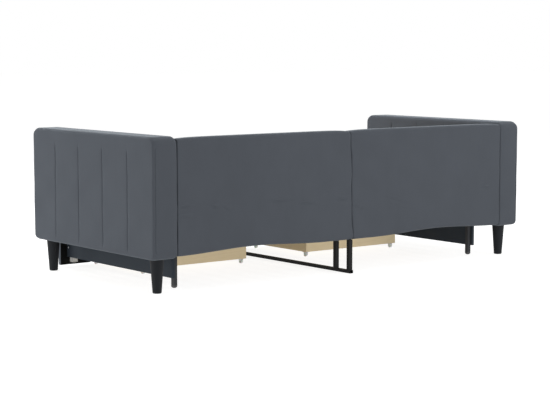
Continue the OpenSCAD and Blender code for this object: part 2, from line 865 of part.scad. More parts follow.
// Wheel about X with a bored hub, a sunk web and an eased tread
module wheel(diameter, width, bore) {
    r = diameter / 2;
    ease = width * tread_ease_share;
    hub = r * hub_share;
    web = width * web_share;
    rotate([0, 90, 0])
    rotate_extrude()
        polygon([[bore / 2, -width / 2], [hub, -width / 2], [hub + ease, -web / 2],
            [r - 2 * ease, -web / 2], [r - 1.5 * ease, -width / 2 + ease / 2], [r - ease / 2, -width / 2 + ease / 2],
            [r, -width / 2 + 1.5 * ease], [r, width / 2 - 1.5 * ease],
            [r - ease / 2, width / 2 - ease / 2], [r - 1.5 * ease, width / 2 - ease / 2], [r - 2 * ease, web / 2],
            [hub + ease, web / 2], [hub, width / 2], [bore / 2, width / 2]]);
}

module trundle_wheel(side) {
    color(black_wood)
    translate([side * trundle_wheel_offset, trundle_wheel_y, trundle_wheel_diameter / 2])
        wheel(trundle_wheel_diameter, trundle_wheel_width, wheel_axle_diameter + 2 * running_clearance);
}

module trundle_wheel_left() { trundle_wheel(-1); }
module trundle_wheel_right() { trundle_wheel(1); }

module trundle_screws() {
    color(zinc)
    for (side = [0, 1])
        mirror([side, 0, 0])
            at_trundle_screws() screw(trundle_bite);
}

// Padded drawer front at +X
module padded_drawer_front() {
    color(velvet)
    padded_board(drawer_front_in, drawer_front_out, drawer_front_low, drawer_front_high,
        drawer_face_back, drawer_front_thickness, front_edge);
}

// Side boards of the drawer at +X, grooved inside for the bottom panel
module drawer_sides() {
    color(pale_wood)
    for (x = [drawer_in, drawer_out - drawer_board])
        difference() {
            translate([x, drawer_face_back, drawer_low])
                cube([drawer_board, drawer_back - drawer_face_back, drawer_board_height]);
            drawer_groove();
        }
}

// Front and back boards of the drawer at +X, between its sides
module drawer_ends() {
    color(pale_wood)
    for (y = [drawer_face_back, drawer_back - drawer_board])
        difference() {
            translate([drawer_in + drawer_board, y, drawer_low])
                cube([drawer_out - drawer_in - 2 * drawer_board, drawer_board, drawer_board_height]);
            drawer_groove();
        }
}

groove_x = drawer_in + drawer_board - groove_depth;
groove_y = drawer_face_back + drawer_board - groove_depth;
groove_length = drawer_out - drawer_in - 2 * (drawer_board - groove_depth);
groove_width = drawer_back - drawer_face_back - 2 * (drawer_board - groove_depth);

// Space that the bottom panel's grooves take
module drawer_groove() {
    translate([groove_x, groove_y, drawer_low + groove_lift])
        cube([groove_length, groove_width, drawer_bottom + seat_gap]);
}

module drawer_bottom_panel() {
    color(pale_wood)
    translate([groove_x + seat_gap, groove_y + seat_gap, drawer_low + groove_lift])
        cube([groove_length - 2 * seat_gap, groove_width - 2 * seat_gap, drawer_bottom]);
}

// Centres of the drawer's castors at +X, in the order of the wheels
castor_places = [
    [drawer_in + castor_inset, drawer_face_back + castor_setback],
    [drawer_out - castor_inset, drawer_face_back + castor_setback],
    [drawer_in + castor_inset, drawer_back - castor_setback],
    [drawer_out - castor_inset, drawer_back - castor_setback]
];

// Outline of one cheek of a castor housing, round its axle
module castor_cheek_outline() {
    polygon(concat(
        [[castor_plate / 2 - castor_nose_radius, drawer_low - castor_plate_thickness],
            [-castor_plate / 2 + castor_nose_radius, drawer_low - castor_plate_thickness]],
        [for (a = [200 : 20 : 340]) [castor_nose_radius * cos(a), castor_axle_z + castor_nose_radius * sin(a)]]
    ));
}

// Moulded castor housing with its axle, under the drawer box
module castor_housing() {
    inside = castor_width / 2 + castor_side_gap;
    translate([-castor_plate / 2, -castor_plate / 2, drawer_low - castor_plate_thickness])
        cube([castor_plate, castor_plate, castor_plate_thickness]);
    for (cheek = [-1, 1])
        translate([cheek * (inside + castor_cheek / 2) - castor_cheek / 2, 0, 0])
            rotate([90, 0, 90])
                linear_extrude(castor_cheek) castor_cheek_outline();
    translate([-inside - castor_cheek, 0, castor_axle_z])
        rotate([0, 90, 0])
            cylinder(h = 2 * (inside + castor_cheek), d = castor_axle_diameter);
}

module drawer_castors() {
    color(white_plastic)
    for (place = castor_places)
        translate([place[0], place[1], 0]) castor_housing();
}

module drawer_wheel(i) {
    color(white_plastic)
    translate([castor_places[i - 1][0], castor_places[i - 1][1], castor_axle_z])
        wheel(castor_diameter, castor_width, castor_axle_diameter + 2 * running_clearance);
}

module on_left() { mirror([1, 0, 0]) children(); }

arm_left();
arm_right();
back_panel_left();
back_panel_right();
front_rail_left();
front_rail_right();
leg_front_left();
leg_front_right();
leg_rear_left();
leg_rear_right();
arm_rail_left();
arm_rail_right();
leg_bolts();
slat_battens();
slats_left();
slats_right();
slat_tapes();
centre_beam();
centre_tall_post();
centre_rear_post();
centre_floor_bar();
frame_brackets();
frame_screws();
trundle_front_left();
trundle_front_right();
front_lining();
side_board_left();
side_board_right();
trundle_rear_rail();
trundle_batten();
trundle_post_left();
trundle_post_right();
foot_caps();
corner_block_left();
corner_block_right();
trundle_slats();
trundle_slat_tapes();
wheel_forks();
trundle_screws();
trundle_wheel_left();
trundle_wheel_right();
on_left() padded_drawer_front();  // drawer_left_front
on_left() drawer_sides();  // drawer_left_sides
on_left() drawer_ends();  // drawer_left_ends
on_left() drawer_bottom_panel();  // drawer_left_bottom
on_left() drawer_castors();  // drawer_left_castors
on_left() drawer_wheel(1);  // drawer_left_wheel_1
on_left() drawer_wheel(2);  // drawer_left_wheel_2
on_left() drawer_wheel(3);  // drawer_left_wheel_3
on_left() drawer_wheel(4);  // drawer_left_wheel_4
padded_drawer_front();  // drawer_right_front
drawer_sides();  // drawer_right_sides
drawer_ends();  // drawer_right_ends
drawer_bottom_panel();  // drawer_right_bottom
drawer_castors();  // drawer_right_castors
drawer_wheel(1);  // drawer_right_wheel_1
drawer_wheel(2);  // drawer_right_wheel_2
drawer_wheel(3);  // drawer_right_wheel_3
drawer_wheel(4);  // drawer_right_wheel_4
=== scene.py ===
"""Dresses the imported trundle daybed: velvet padding, wood, steel, plastic and the studio round it.

Lengths are in metres, in the daybed's own frame: origin on the floor under the middle, front towards -Y.
"""

import logging
import math
from dataclasses import dataclass, field, replace
from enum import Enum
from typing import Callable, Iterable, Sequence

import bmesh
import bpy
import numpy as np
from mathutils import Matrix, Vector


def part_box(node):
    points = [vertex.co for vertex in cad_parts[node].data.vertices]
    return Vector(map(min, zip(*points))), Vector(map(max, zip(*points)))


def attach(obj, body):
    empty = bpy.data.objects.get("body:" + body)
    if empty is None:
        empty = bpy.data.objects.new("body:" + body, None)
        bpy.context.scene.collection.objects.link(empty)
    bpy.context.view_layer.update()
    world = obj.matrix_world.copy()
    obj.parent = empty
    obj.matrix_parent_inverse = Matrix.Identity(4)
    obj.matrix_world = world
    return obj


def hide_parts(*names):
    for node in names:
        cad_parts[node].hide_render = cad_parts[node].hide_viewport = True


logging.basicConfig(level=logging.INFO, format="%(message)s")
log = logging.getLogger("daybed")

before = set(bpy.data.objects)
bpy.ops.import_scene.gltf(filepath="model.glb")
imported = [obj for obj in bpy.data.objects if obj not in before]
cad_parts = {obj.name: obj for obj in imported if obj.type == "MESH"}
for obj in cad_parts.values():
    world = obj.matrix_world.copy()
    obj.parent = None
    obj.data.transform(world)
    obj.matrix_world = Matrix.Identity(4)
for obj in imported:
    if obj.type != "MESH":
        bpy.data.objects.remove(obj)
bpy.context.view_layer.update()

MM = 0.001
# Steps of a hem's groove: distance from the end ring in millimetres, and share of the hem's depth
HEM_STEPS = ((1.0, 0.6), (2.0, 1.0), (4.2, 0.0))
# Where a hem starts across the piece, as a share of its half width, and over what share it deepens
HEM_START, HEM_RUN = 0.8, 0.15
Colour = tuple[float, float, float]


class Grain(Enum):
    """The way that a wood's grain runs."""

    ALONG_X = 0
    ALONG_Y = 1
    ALONG_Z = 2


# Materials


class Graph:
    """A small writer of shader nodes for one material."""

    def __init__(self, name: str) -> None:
        """Makes an empty material with a principled shader wired to its output.

        Args:
            name: The material's name.
        """
        self.material = bpy.data.materials.new(name)
        self.material.use_nodes = True
        self.tree = self.material.node_tree
        self.tree.nodes.clear()
        self.output = self.add("ShaderNodeOutputMaterial")
        self.shader = self.add("ShaderNodeBsdfPrincipled")
        self.link(self.shader, "BSDF", self.output, "Surface")
        self.place = self.add("ShaderNodeTexCoord").outputs["Object"]

    def add(self, kind: str, **values: object) -> bpy.types.Node:
        """Adds a node and sets its attributes.

        Args:
            kind: The node's Blender type.
            **values: Attributes of the node.

        Returns:
            The new node.
        """
        node = self.tree.nodes.new(kind)
        for key, value in values.items():
            setattr(node, key, value)
        return node

    def link(self, source: bpy.types.Node, out: str | int, target: bpy.types.Node, into: str | int) -> None:
        """Joins one node's output to another's input.

        Args:
            source: The node that gives the value.
            out: Name or number of its output.
            target: The node that takes the value.
            into: Name or number of its input.
        """
        self.tree.links.new(source.outputs[out], target.inputs[into])

    def set(self, **values: object) -> None:
        """Sets inputs of the principled shader, with _ in a name read as a space.

        Args:
            **values: Input names and their values.
        """
        for key, value in values.items():
            self.shader.inputs[key.replace("_", " ")].default_value = value

    def stretched(self, scale: Sequence[float], turn: Sequence[float] = (0.0, 0.0, 0.0)) -> bpy.types.Node:
        """Adds a mapping of the object's coordinates.

        Args:
            scale: Scale along each axis.
            turn: Rotation about each axis in radians.

        Returns:
            The mapping node.
        """
        node = self.add("ShaderNodeMapping")
        node.inputs["Scale"].default_value = scale
        node.inputs["Rotation"].default_value = turn
        self.tree.links.new(self.place, node.inputs["Vector"])
        return node

    def noise(self, scale: float, detail: float = 2.0, rough: float = 0.5,
              source: bpy.types.Node | None = None) -> bpy.types.Node:
        """Adds a noise texture.

        Args:
            scale: Its scale, per metre.
            detail: Octaves.
            rough: Weight of the finer octaves.
            source: A mapping node, or none for plain object coordinates.

        Returns:
            The noise node.
        """
        node = self.add("ShaderNodeTexNoise")
        node.inputs["Scale"].default_value = scale
        node.inputs["Detail"].default_value = detail
        node.inputs["Roughness"].default_value = rough
        if source is None:
            self.tree.links.new(self.place, node.inputs["Vector"])
        else:
            self.link(source, 0, node, "Vector")
        return node

    def ramp(self, source: bpy.types.Node, out: str, stops: Sequence[tuple[float, Colour]]) -> bpy.types.Node:
        """Adds a colour ramp behind a value.

        Args:
            source: The node that gives the value.
            out: Name of its output.
            stops: Places from 0 to 1 with their colours.

        Returns:
            The ramp node.
        """
        node = self.add("ShaderNodeValToRGB")
        elements = node.color_ramp.elements
        while len(elements) < len(stops):
            elements.new(0.5)
        for element, (at, colour) in zip(elements, stops):
            element.position = at
            element.color = (*colour, 1.0)
        self.link(source, out, node, "Fac")
        return node

    def mix(self, share: bpy.types.Node, out: str, first: bpy.types.Node, second: bpy.types.Node,
            blend: str = "MIX") -> bpy.types.Node:
        """Mixes two ramps by a value.

        Args:
            share: The node that gives the share of the second.
            out: Name of its output.
            first: The first ramp.
            second: The second ramp.
            blend: Blender's name of the blend mode.

        Returns:
            The mixing node, whose output number 2 is the colour.
        """
        node = self.add("ShaderNodeMix", data_type="RGBA", blend_type=blend)
        self.link(share, out, node, 0)
        self.tree.links.new(first.outputs["Color"], node.inputs[6])
        self.tree.links.new(second.outputs["Color"], node.inputs[7])
        return node

    def colour_from(self, node: bpy.types.Node, out: str | int = "Color") -> None:
        """Feeds the shader's base colour from a node."""
        self.link(node, out, self.shader, "Base Color")

    def bump(self, heights: Iterable[tuple[bpy.types.Node, str, float, float]]) -> None:
        """Stacks bumps from coarse to fine and feeds the shader's normal.

        Args:
            heights: Node, output name, strength and distance in metres of each bump.
        """
        last = None
        for node, out, strength, distance in heights:
            step = self.add("ShaderNodeBump")
            step.inputs["Strength"].default_value = strength
            step.inputs["Distance"].default_value = distance
            self.link(node, out, step, "Height")
            if last is not None:
                self.link(last, "Normal", step, "Normal")
            last = step
        self.link(last, "Normal", self.shader, "Normal")


@dataclass(frozen=True)
class Velvet:
    """Short-pile upholstery velvet: soft sheen, brushed patches and a fine pile."""

    shade: Colour = (0.0705, 0.078, 0.091)
    brushed: Colour = (0.0775, 0.0858, 0.100)
    sheen_colour: tuple[float, float, float, float] = (0.75, 0.85, 0.92, 1.0)
    sheen: float = 0.205
    patch_scale: float = 2.2
    streak_scale: float = 16.0
    pile_scale: float = 1400.0

    def make(self, name: str) -> bpy.types.Material:
        """Builds the material.

        Args:
            name: The material's name.

        Returns:
            The material.
        """
        g = Graph(name)
        patches = g.noise(self.patch_scale, 3.0, 0.45)
        streaks = g.noise(self.streak_scale, 3.0, 0.6, g.stretched((1.0, 1.0, 0.5)))
        pile = g.noise(self.pile_scale, 1.0)
        broad = g.ramp(patches, "Fac", [(0.35, self.shade), (0.68, self.brushed)])
        fine = g.ramp(streaks, "Fac", [(0.3, self.shade), (0.75, self.brushed)])
        g.colour_from(g.mix(pile, "Fac", broad, fine), 2)
        g.set(Roughness=0.92, Sheen_Weight=self.sheen, Sheen_Roughness=0.38, Sheen_Tint=self.sheen_colour,
              Specular_IOR_Level=0.10)
        g.bump([(streaks, "Fac", 0.12, 0.0012), (pile, "Fac", 0.35, 0.0004)])
        return g.material


@dataclass(frozen=True)
class Wood:
    """Planed or lacquered pale wood with its growth lines and pores."""

    light: Colour
    dark: Colour
    grain: Grain
    ring_scale: float = 26.0
    fibre_scale: float = 420.0
    tone_scale: float = 3.5
    along_share: float = 0.06
    roughness: float = 0.55
    pores: float = 0.25

    def make(self, name: str) -> bpy.types.Material:
        """Builds the material.

        Args:
            name: The material's name.

        Returns:
            The material.
        """
        g = Graph(name)
        slow = [1.0, 1.0, 1.0]
        slow[self.grain.value] = self.along_share
        along = g.stretched(slow)
        rings = g.noise(self.ring_scale, 4.0, 0.62, along)
        fibres = g.noise(self.fibre_scale, 2.0, 0.6, along)
        tone = g.noise(self.tone_scale, 2.0, 0.5, along)
        lines = g.ramp(rings, "Fac", [(0.32, self.dark), (0.5, self.light), (0.78, self.dark)])
        middle = tuple((a + b) / 2 for a, b in zip(self.light, self.dark))
        base = g.ramp(fibres, "Fac", [(0.3, middle), (0.6, self.light)])
        g.colour_from(g.mix(tone, "Fac", lines, base), 2)
        g.set(Roughness=self.roughness, Specular_IOR_Level=0.35)
        g.bump([(rings, "Fac", 0.12, 0.0008), (fibres, "Fac", self.pores, 0.0003)])
        return g.material


@dataclass(frozen=True)
class Coated:
    """Paint, foil or moulded plastic: one colour that varies a little, over a fine surface."""

    colour: Colour
    vary: float = 0.12
    roughness: float = 0.45
    texture_scale: float = 600.0
    texture_depth: float = 0.0002
    cloud_scale: float = 7.0
    stretch: tuple[float, float, float] = (1.0, 1.0, 1.0)
    coat: float = 0.0
    gloss: float = 0.5
    metallic: float = 0.0
    soft_light: float = 0.0

    def make(self, name: str) -> bpy.types.Material:
        """Builds the material.

        Args:
            name: The material's name.

        Returns:
            The material.
        """
        g = Graph(name)
        source = g.stretched(self.stretch)
        clouds = g.noise(self.cloud_scale, 3.0, 0.5, source)
        fine = g.noise(self.texture_scale, 2.0, 0.5, source)
        low = tuple(c * (1 - self.vary) for c in self.colour)
        high = tuple(min(1.0, c * (1 + self.vary)) for c in self.colour)
        g.colour_from(g.mix(fine, "Fac", g.ramp(clouds, "Fac", [(0.3, low), (0.7, high)]),
                            g.ramp(clouds, "Fac", [(0.3, high), (0.7, low)])), 2)
        g.set(Roughness=self.roughness, Coat_Weight=self.coat, Coat_Roughness=0.3, Metallic=self.metallic,
              Subsurface_Weight=self.soft_light, Specular_IOR_Level=self.gloss)
        g.bump([(clouds, "Fac", 0.05, 0.001), (fine, "Fac", 0.3, self.texture_depth)])
        return g.material


@dataclass(frozen=True)
class Woven:
    """Woven or pressed cloth with crossing threads, for tapes and the black lining."""

    light: Colour
    dark: Colour
    thread: float = 900.0
    thread_turn: float = 6.28
    fuzz_scale: float = 1800.0

    def make(self, name: str) -> bpy.types.Material:
        """Builds the material.

        Args:
            name: The material's name.

        Returns:
            The material.
        """
        g = Graph(name)
        warp = g.add("ShaderNodeTexWave", bands_direction="X")
        weft = g.add("ShaderNodeTexWave", bands_direction="DIAGONAL")
        for wave in (warp, weft):
            wave.inputs["Scale"].default_value = self.thread / self.thread_turn
            wave.inputs["Distortion"].default_value = 0.4
            g.tree.links.new(g.place, wave.inputs["Vector"])
        fuzz = g.noise(self.fuzz_scale, 2.0)
        g.colour_from(g.mix(fuzz, "Fac", g.ramp(warp, "Fac", [(0.2, self.dark), (0.8, self.light)]),
                            g.ramp(weft, "Fac", [(0.2, self.dark), (0.8, self.light)])), 2)
        g.set(Roughness=0.95, Specular_IOR_Level=0.1, Sheen_Weight=0.1)
        g.bump([(warp, "Fac", 0.4, 0.0004), (weft, "Fac", 0.4, 0.0004), (fuzz, "Fac", 0.3, 0.0002)])
        return g.material


PALE = dict(light=(0.90, 0.775, 0.53), dark=(0.78, 0.645, 0.405))
GREYED = dict(light=(0.75, 0.745, 0.72), dark=(0.63, 0.62, 0.595))
SLAT = dict(light=(0.58, 0.44, 0.26), dark=(0.40, 0.28, 0.15))


class Palette:
    """Every finish of the daybed, made once."""

    def __init__(self) -> None:
        """Builds the materials by name."""
        self.made = {
            "velvet": Velvet().make("velvet_finish"),
            "pale_wood_x": Wood(grain=Grain.ALONG_X, **PALE).make("pale_wood_x_finish"),
            "pale_wood_y": Wood(grain=Grain.ALONG_Y, **PALE).make("pale_wood_y_finish"),
            "greyed_wood": Wood(grain=Grain.ALONG_Z, **GREYED).make("greyed_wood_finish"),
            "slat_wood": Wood(grain=Grain.ALONG_Y, ring_scale=34.0, **SLAT).make("slat_wood_finish"),
            "black_wood": Coated((0.010, 0.0115, 0.014), roughness=0.6, texture_scale=240.0, gloss=0.15,
                                 stretch=(1.0, 1.0, 0.08), texture_depth=0.0004).make("black_wood_finish"),
            # Real black paint of the centre support, made darker still as painted shade for the shadow under the back
            # panel
            "black_steel": Coated((0.009, 0.0092, 0.0095), roughness=0.5, texture_scale=900.0,
                                  gloss=0.12).make("black_steel_finish"),
            "grey_steel": Coated((0.030, 0.032, 0.036), roughness=0.5, texture_scale=900.0,
                                 gloss=0.2).make("grey_steel_finish"),
            "grey_board": Coated((0.031, 0.039, 0.050), roughness=0.6, texture_scale=380.0, gloss=0.08,
                                 stretch=(1.0, 0.08, 1.0)).make("grey_board_finish"),
            "white_plastic": Coated((0.88, 0.88, 0.87), vary=0.03, roughness=0.35,
                                    soft_light=0.3).make("white_plastic_finish"),
            "black_plastic": Coated((0.02, 0.02, 0.021), roughness=0.4,
                                    texture_scale=1200.0).make("black_plastic_finish"),
            "zinc_steel": Coated((0.60, 0.61, 0.63), vary=0.1, roughness=0.32, metallic=0.9,
                                 texture_scale=300.0).make("zinc_steel_finish"),
            "lining": Woven((0.006, 0.0065, 0.007), (0.003, 0.003, 0.003), thread=1500.0).make("lining_finish"),
            "tape": Woven((0.62, 0.61, 0.58), (0.40, 0.39, 0.37)).make("tape_finish"),
        }

    def __getitem__(self, name: str) -> bpy.types.Material:
        """Gives a material by its name."""
        return self.made[name]


# Meshes


def put_mesh(name: str, points: np.ndarray, faces: np.ndarray, material: bpy.types.Material,
             smooth_angle: float = 40.0) -> bpy.types.Object:
    """Puts computed points and faces into a new object at the origin.

    Args:
        name: The object's name.
        points: (n, 3) points in metres.
        faces: (m, 4) corner numbers; a triangle repeats its last corner.
        material: The finish.
        smooth_angle: Angle in degrees above which an edge stays sharp.

    Returns:
        The object, with doubles merged and smooth shading.
    """
    mesh = bpy.data.meshes.new(name)
    mesh.from_pydata(points.tolist(), [], [list(dict.fromkeys(face)) for face in faces.tolist()])
    mesh.validate()
    work = bmesh.new()
    work.from_mesh(mesh)
    bmesh.ops.remove_doubles(work, verts=work.verts, dist=1e-5)
    bmesh.ops.recalc_face_normals(work, faces=work.faces)
    work.to_mesh(mesh)
    work.free()
    mesh.shade_smooth()
    mesh.set_sharp_from_angle(angle=math.radians(smooth_angle))
    mesh.materials.append(material)
    piece = bpy.data.objects.new(name, mesh)
    bpy.context.scene.collection.objects.link(piece)
    return piece


def rounded_fall(distance: np.ndarray, radius: float) -> np.ndarray:
    """Fall of a quarter round of the given radius at a distance from its end.

    Args:
        distance: Distances from the end, 0 or more.
        radius: The radius.

    Returns:
        radius - sqrt(radius^2 - (radius - distance)^2) inside the round, and 0 past it.
    """
    into = np.clip(radius - distance, 0.0, radius)
    return radius - np.sqrt(radius * radius - into * into)


def smooth(t: np.ndarray) -> np.ndarray:
    """Smooth step from 0 to 1: 3t^2 - 2t^3 on the clipped value."""
    u = np.clip(t, 0.0, 1.0)
    return u * u * (3 - 2 * u)


def waves(a: np.ndarray, b: np.ndarray, size: float, seed: int, count: int = 9) -> np.ndarray:
    """A gentle uneven surface, as a sum of seeded sine waves in many directions.

    Args:
        a: First coordinate.
        b: Second coordinate.
        size: Typical wavelength in metres.
        seed: Seed of the directions and phases.
        count: How many waves.

    Returns:
        Heights of about -1 to 1, shaped as a and b broadcast.
    """
    rng = np.random.default_rng(seed)
    total = 0.0
    for _ in range(count):
        turn, phase, stretch = rng.uniform(0, 2 * np.pi), rng.uniform(0, 2 * np.pi), rng.uniform(0.6, 1.7)
        k = 2 * np.pi / (size * stretch)
        total = total + np.sin(k * (a * np.cos(turn) + b * np.sin(turn)) + phase)
    return total / math.sqrt(count)


@dataclass
class Section:
    """A rounded rectangle that changes along a piece: across it and up it.

    The loop runs from the lower left corner anticlockwise; every field is an (m, 1) column or a number.
    Steps t up the right side are moved to t - crowd / 2 pi (sin 2 pi (t - crowd_at) + sin 2 pi crowd_at),
    which puts them closer together round one height.
    """

    half: np.ndarray
    low: np.ndarray
    top: np.ndarray
    low_radius: np.ndarray
    top_radius: np.ndarray
    across_steps: int
    side_steps: int
    arc_steps: int = 7
    crowd: float = 0.0
    crowd_at: float = 0.5

    def loop(self) -> tuple[np.ndarray, np.ndarray, np.ndarray, np.ndarray]:
        """Works the loop out, stretch by stretch: base, arc, side, arc, top, arc, side, arc.

        Returns:
            Arrays of shape (m, n): across, up, and the outward normal's two parts.
        """
        flat = np.linspace(0, 1, self.across_steps, endpoint=False)[None, :]
        tall = np.linspace(0, 1, self.side_steps, endpoint=False)[None, :]
        turn = 2 * np.pi
        rising = tall - self.crowd / turn * (np.sin(turn * (tall - self.crowd_at)) + math.sin(turn * self.crowd_at))
        quarter = np.linspace(0, np.pi / 2, self.arc_steps, endpoint=False)[None, :]
        one = np.ones_like(self.half)
        low_in, top_in = self.half - self.low_radius, self.half - self.top_radius
        side_low, side_top = self.low + self.low_radius, self.top - self.top_radius
        stretches = []

        def line(x0: np.ndarray, z0: np.ndarray, x1: np.ndarray, z1: np.ndarray, t: np.ndarray,
                 normal: tuple[float, float]) -> None:
            """Adds a straight stretch with one normal."""
            stretches.append((x0 + (x1 - x0) * t, z0 + (z1 - z0) * t, normal[0] * one + 0 * t,
                              normal[1] * one + 0 * t))

        def arc(x: np.ndarray, z: np.ndarray, radius: np.ndarray, start: float) -> None:
            """Adds a quarter arc that begins at angle start."""
            c, s = np.cos(start + quarter), np.sin(start + quarter)
            stretches.append((x + radius * c, z + radius * s, c * one, s * one))

        line(-low_in, self.low, low_in, self.low, flat, (0, -1))
        arc(low_in, side_low, self.low_radius, -np.pi / 2)
        line(self.half, side_low, self.half, side_top, rising, (1, 0))
        arc(top_in, side_top, self.top_radius, 0.0)
        line(top_in, self.top, -top_in, self.top, flat, (0, 1))
        arc(-top_in, side_top, self.top_radius, np.pi / 2)
        line(-self.half, side_top, -self.half, side_low, tall, (-1, 0))
        arc(-low_in, side_low, self.low_radius, np.pi)
        return tuple(np.concatenate(parts, axis=1) for parts in zip(*stretches))


def closed_loft(across: np.ndarray, up: np.ndarray, along: np.ndarray, crown: float, hem: float = 0.0,
                cap_steps: int = 7) -> tuple[np.ndarray, np.ndarray]:
    """Closes a stack of loops with end caps that shrink to their own middle lines.

    Each cap ring is middle + k (end ring - middle) for k from 1 to 0, where middle is the upright line
    through the loop's centre, and the cap swells outwards by crown (1 - k^2). A hem is a groove 4 mm wide
    just inside the first ring, on the side where across is highest.

    Args:
        across: (m, n) coordinates across the piece, centred on 0.
        up: (m, n) heights.
        along: (m, n) places along the piece.
        crown: Swell of the caps in metres.
        hem: Depth of the seam round each cap, or 0 for none.
        cap_steps: Rings in each cap.

    Returns:
        (p, 3) points as across, along, up, and (q, 4) faces.
    """
    def cap(ring: int, sign: float) -> list[np.ndarray]:
        """Works out the rings from an end towards its middle line.

        Args:
            ring: Number of the end's loop.
            sign: Way out along the piece, 1 or -1.

        Returns:
            A list of (n, 3) rings.
        """
        x, z, y = across[ring], up[ring], along[ring]
        half = np.abs(x).max()
        line = np.clip(z, z.min() + half, z.max() - half)
        sewn = smooth((x / half - HEM_START) / HEM_RUN)
        grooves = [(1 - inward * MM / half, share * hem) for inward, share in HEM_STEPS]
        steps = [(k, 0.0) for k in np.linspace(1, 0, cap_steps + 1)[1:]]
        return [np.stack([k * x, y + sign * (crown * (1 - k * k) - push * sewn), line + k * (z - line)], 1)
                for k, push in (grooves if hem else []) + steps]

    body = np.stack([across, along, up], 2)
    outward = np.sign(along[-1].mean() - along[0].mean())
    rings = cap(0, -outward)[::-1] + list(body) + cap(-1, outward)
    stack = np.array(rings)
    m, n = stack.shape[:2]
    i, k = np.meshgrid(np.arange(m - 1), np.arange(n), indexing="ij")
    a, b = i * n + k, i * n + (k + 1) % n
    faces = np.stack([a, b, b + n, a + n], 2).reshape(-1, 4)
    return stack.reshape(-1, 3), faces


def places_along(length: float, end_radius: float, step: float, seams: Sequence[float]) -> np.ndarray:
    """Places along a piece: close together in its rounded ends and beside its seams.

    Args:
        length: The piece's length.
        end_radius: Radius of its rounded ends.
        step: Spacing elsewhere.
        seams: Places of the seams.

    Returns:
        A sorted column of places.
    """
    ends = end_radius * (1 - np.cos(np.linspace(0, np.pi / 2, 9)))
    beside = np.array([-7, -4.5, -2.8, -1.4, 0, 1.4, 2.8, 4.5, 7]) * MM
    near = np.concatenate([seam + beside for seam in seams]) if len(seams) else np.zeros(0)
    even = np.arange(end_radius + step, length - end_radius - step / 2, step)
    if len(near):
        even = even[np.min(np.abs(even[:, None] - near[None, :]), axis=1) > step * 0.55]
    return np.unique(np.concatenate([ends, length - ends, near, even]).round(6))[:, None]


@dataclass
class Channels:
    """Sewn channels: narrow upright seams with puckers beside them."""

    seams: tuple[float, ...]
    low: float
    top: float
    depth: float = 0.0046
    width: float = 0.0024
    pucker: float = 0.0005
    run: float = 0.03
    seed: int = 3

    def reach(self, z: np.ndarray) -> np.ndarray:
        """Share of the seams' depth at a height: 1 between their heads and feet, falling to 0 over the run."""
        return smooth((z - self.low) / self.run) * smooth((self.top - z) / self.run)

    def relief(self, s: np.ndarray, z: np.ndarray) -> np.ndarray:
        """Height of the cover over its plain face.

        It is -depth exp(-d / width) at distance d from the nearest seam, plus short waves up the seam that
        fade over ten widths, all fading out at the seam's two ends.

        Args:
            s: Places along the piece.
            z: Heights.

        Returns:
            Heights in metres, shaped as s and z broadcast.
        """
        gap = np.min(np.abs(s[..., None] - np.array(self.seams)), axis=-1)
        seam = -self.depth * np.exp(-gap / self.width)
        short = waves(z * 1.0, s * 0.35, 0.026, self.seed, 5) * self.pucker * np.exp(-gap / (10 * self.width))
        return (seam + short) * self.reach(z)


@dataclass(frozen=True)
class Stuffing:
    """How a cover billows when the foam behind it presses out, worked out by a cloth simulation."""

    pressure: float = 4.0
    frames: int = 20
    stiffness: float = 30.0
    weight: float = 0.25

    def billow(self, points: np.ndarray, faces: np.ndarray, pinned: np.ndarray, cap: float) -> np.ndarray:
        """Runs the simulation on a grid and gives how far each point moved.

        A move of length m becomes cap (1 - exp(-m / cap)) long, so no point moves further than the cap.

        Args:
            points: (n, 3) start points.
            faces: (m, 4) faces.
            pinned: (n,) True where the cover is sewn or stapled down.
            cap: The furthest that a point may move, in metres.

        Returns:
            (n, 3) moves.
        """
        mesh = bpy.data.meshes.new("cover")
        mesh.from_pydata(points.tolist(), [], [list(dict.fromkeys(face)) for face in faces.tolist()])
        mesh.update()
        cover = bpy.data.objects.new("cover", mesh)
        scene = bpy.context.scene
        scene.collection.objects.link(cover)
        group = cover.vertex_groups.new(name="sewn")
        group.add(np.flatnonzero(pinned).tolist(), 1.0, "REPLACE")
        cloth = cover.modifiers.new("stuffing", "CLOTH")
        settings = cloth.settings
        settings.quality = 6
        settings.mass = self.weight
        settings.tension_stiffness = settings.compression_stiffness = self.stiffness
        settings.shear_stiffness = self.stiffness
        settings.bending_stiffness = 1.0
        settings.use_pressure = True
        settings.uniform_pressure_force = self.pressure
        settings.vertex_group_mass = group.name
        settings.effector_weights.gravity = 0.0
        cloth.collision_settings.use_collision = False
        cloth.point_cache.frame_start = 1
        cloth.point_cache.frame_end = self.frames
        for step in range(1, self.frames + 1):
            scene.frame_set(step)
        shape = cover.evaluated_get(bpy.context.evaluated_depsgraph_get()).data
        moved = np.empty(len(points) * 3)
        shape.vertices.foreach_get("co", moved)
        bpy.data.objects.remove(cover)
        bpy.data.meshes.remove(mesh)
        scene.frame_set(1)
        move = moved.reshape(-1, 3) - points
        size = np.linalg.norm(move, axis=1, keepdims=True)
        return move * cap * (1 - np.exp(-size / cap)) / np.maximum(size, 1e-9)


# Padded pieces


